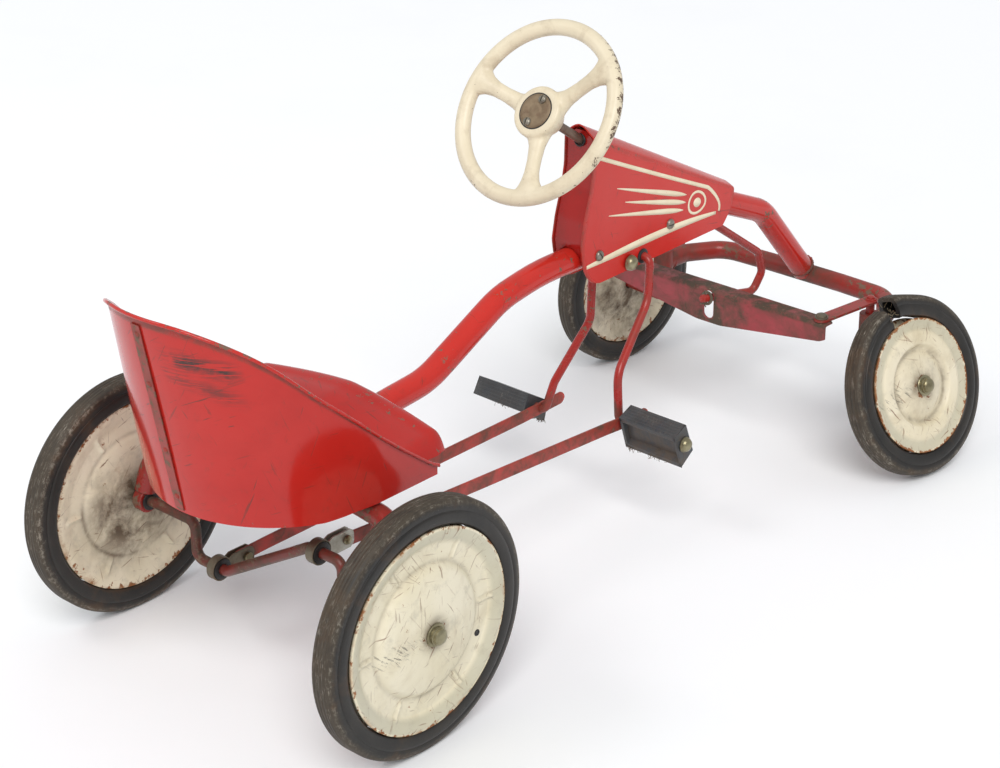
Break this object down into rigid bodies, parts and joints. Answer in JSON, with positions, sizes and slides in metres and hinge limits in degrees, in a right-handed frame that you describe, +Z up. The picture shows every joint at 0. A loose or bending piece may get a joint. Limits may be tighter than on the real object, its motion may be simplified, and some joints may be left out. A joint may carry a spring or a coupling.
{
  "type": "child's pedal car",
  "caption": "Child's pedal car: bent tube frame, sheet seat and hood, dished wheels, steering linkage and rocking crank pedal drive.",
  "frame": {"origin": "bottom centre of the bounding box, on the floor under the middle of the car", "axes": "+Z up, the car drives towards -Y, its right side is -X, +Y points to the rear"},
  "size_m": [0.51, 1.0558, 0.5571],
  "materials": {
    "black_bush": "black bushing",
    "zinc_steel": "dull plated steel",
    "red_paint_dark": "worn dark red enamel",
    "red_paint": "worn red enamel",
    "brown_steel": "browned bare steel",
    "rubber": "dusty black rubber",
    "cream_plastic": "aged cream plastic",
    "tyre": "dusty black rubber",
    "cream_paint": "aged cream enamel"
  },
  "bodies": {
    "frame": {"axle_bush_left": "black_bush", "axle_bush_right": "black_bush", "front_cross_tube": "red_paint_dark", "hood_cover": "red_paint", "hood_rear_panel": "red_paint", "hood_screw_left_1": "zinc_steel", "hood_screw_left_2": "zinc_steel", "hood_screw_right_1": "zinc_steel", "hood_screw_right_2": "zinc_steel", "main_tube": "red_paint", "rear_fork_tube": "red_paint_dark", "seat_pan": "red_paint", "seat_seam_strip": "red_paint_dark", "seat_shell": "red_paint"},
    "steering": {"steering_column": "brown_steel", "steering_wheel": "cream_plastic", "hub_plate": "brown_steel", "column_washer": "zinc_steel"},
    "spindle_right": {"spindle_right": "red_paint_dark", "steering_arm_right": "red_paint_dark"},
    "spindle_left": {"spindle_left": "red_paint_dark", "steering_arm_left": "red_paint_dark"},
    "tie_rod": {"tie_rod": "red_paint_dark", "tie_bolt_right": "zinc_steel", "tie_bolt_left": "zinc_steel"},
    "rear_wheel_right": {"tyre_rear_right": "tyre", "wheel_disc_outer_rear_right": "cream_paint", "wheel_disc_inner_rear_right": "cream_paint", "hub_cap_rear_right": "zinc_steel"},
    "rear_wheel_left": {"tyre_rear_left": "tyre", "wheel_disc_outer_rear_left": "cream_paint", "wheel_disc_inner_rear_left": "cream_paint", "hub_cap_rear_left": "zinc_steel"},
    "front_wheel_right": {"tyre_front_right": "tyre", "wheel_disc_outer_front_right": "cream_paint", "wheel_disc_inner_front_right": "cream_paint", "hub_cap_front_right": "zinc_steel"},
    "front_wheel_left": {"tyre_front_left": "tyre", "wheel_disc_outer_front_left": "cream_paint", "wheel_disc_inner_front_left": "cream_paint", "hub_cap_front_left": "zinc_steel"},
    "crank": {"crank_axle": "red_paint_dark"},
    "hanger_right": {"hanger_right": "zinc_steel", "hanger_bush_right": "black_bush", "hanger_bolt_right": "zinc_steel"},
    "pedal_arm_right": {"pedal_arm_right": "red_paint_dark", "pivot_cap_right": "zinc_steel"},
    "push_rod_right": {"push_rod_right": "red_paint"},
    "pedal_right": {"pedal_right": "rubber", "pedal_cap_right": "zinc_steel"},
    "hanger_left": {"hanger_left": "zinc_steel", "hanger_bush_left": "black_bush", "hanger_bolt_left": "zinc_steel"},
    "pedal_arm_left": {"pedal_arm_left": "red_paint_dark", "pivot_cap_left": "zinc_steel"},
    "push_rod_left": {"push_rod_left": "red_paint"},
    "pedal_left": {"pedal_left": "rubber", "pedal_cap_left": "zinc_steel"}
  },
  "joints": [
    {"name": "steering_turn", "type": "hinge", "parent": "frame", "child": "steering", "pos_m": [0.00876, -0.0137, 0.472], "axis": [0, 0.8241, 0.5664], "range_deg": [-13.18, 30.82]},
    {"name": "spindle_turn_right", "type": "hinge", "parent": "frame", "child": "spindle_right", "pos_m": [-0.14124, -0.4164, 0.145], "axis": [0, 0, 1], "range_deg": [-11.5, 26.5]},
    {"name": "spindle_turn_left", "type": "hinge", "parent": "frame", "child": "spindle_left", "pos_m": [0.15876, -0.4164, 0.145], "axis": [0, 0, 1], "range_deg": [-11.5, 26.5]},
    {"name": "tie_rod_turn", "type": "hinge", "parent": "spindle_right", "child": "tie_rod", "pos_m": [-0.13044, -0.33441, 0.18], "axis": [0, 0, 1], "range_deg": [-26.5, 11.5]},
    {"name": "rear_wheel_spin_right", "type": "hinge", "parent": "frame", "child": "rear_wheel_right", "pos_m": [-0.19354, 0.3836, 0.127], "axis": [1, 0, 0], "continuous": true},
    {"name": "front_wheel_spin_right", "type": "hinge", "parent": "spindle_right", "child": "front_wheel_right", "pos_m": [-0.21064, -0.40726, 0.0993], "axis": [0.9402, -0.1238, -0.3173], "continuous": true},
    {"name": "rear_wheel_spin_left", "type": "hinge", "parent": "frame", "child": "rear_wheel_left", "pos_m": [0.21106, 0.3836, 0.127], "axis": [1, 0, 0], "continuous": true},
    {"name": "front_wheel_spin_left", "type": "hinge", "parent": "spindle_left", "child": "front_wheel_left", "pos_m": [0.22817, -0.42554, 0.1023], "axis": [0.9914, -0.1305, 0], "continuous": true},
    {"name": "crank_rock", "type": "hinge", "parent": "frame", "child": "crank", "pos_m": [0.00876, 0.3836, 0.127], "axis": [1, 0, 0], "range_deg": [-24, 24]},
    {"name": "hanger_swing_right", "type": "hinge", "parent": "crank", "child": "hanger_right", "pos_m": [-0.06324, 0.3836, 0.158], "axis": [1, 0, 0], "range_deg": [-25, 25]},
    {"name": "pedal_arm_swing_right", "type": "hinge", "parent": "frame", "child": "pedal_arm_right", "pos_m": [0.00876, -0.1614, 0.278], "axis": [1, 0, 0], "range_deg": [-5.18, 5.18]},
    {"name": "push_rod_swing_right", "type": "hinge", "parent": "pedal_arm_right", "child": "push_rod_right", "pos_m": [-0.05124, -0.0844, 0.119], "axis": [1, 0, 0], "range_deg": [-6.01, 6.01]},
    {"name": "pedal_turn_right", "type": "hinge", "parent": "pedal_arm_right", "child": "pedal_right", "pos_m": [-0.09524, -0.0844, 0.119], "axis": [1, 0, 0], "range_deg": [-40, 40]},
    {"name": "hanger_swing_left", "type": "hinge", "parent": "crank", "child": "hanger_left", "pos_m": [0.08076, 0.3836, 0.087], "axis": [1, 0, 0], "range_deg": [-25, 25]},
    {"name": "pedal_arm_swing_left", "type": "hinge", "parent": "frame", "child": "pedal_arm_left", "pos_m": [0.00876, -0.1374, 0.278], "axis": [1, 0, 0], "range_deg": [-5.83, 5.83]},
    {"name": "push_rod_swing_left", "type": "hinge", "parent": "pedal_arm_left", "child": "push_rod_left", "pos_m": [0.06876, -0.0844, 0.098], "axis": [1, 0, 0], "range_deg": [-6.48, 6.48]},
    {"name": "pedal_turn_left", "type": "hinge", "parent": "pedal_arm_left", "child": "pedal_left", "pos_m": [0.11276, -0.0844, 0.098], "axis": [1, 0, 0], "range_deg": [-40, 40]}
  ],
  "couplings": [
    {"joint": "spindle_turn_right", "follows": "steering_turn", "ratio": 0.85},
    {"joint": "spindle_turn_left", "follows": "steering_turn", "ratio": 0.85},
    {"joint": "tie_rod_turn", "follows": "steering_turn", "ratio": -0.85},
    {"joint": "hanger_swing_right", "follows": "crank_rock", "ratio": -1},
    {"joint": "pedal_arm_swing_right", "follows": "crank_rock", "ratio": -0.19497},
    {"joint": "push_rod_swing_right", "follows": "crank_rock", "ratio": 0.22956},
    {"joint": "hanger_swing_left", "follows": "crank_rock", "ratio": -1},
    {"joint": "pedal_arm_swing_left", "follows": "crank_rock", "ratio": 0.22222},
    {"joint": "push_rod_swing_left", "follows": "crank_rock", "ratio": -0.24936}
  ]
}
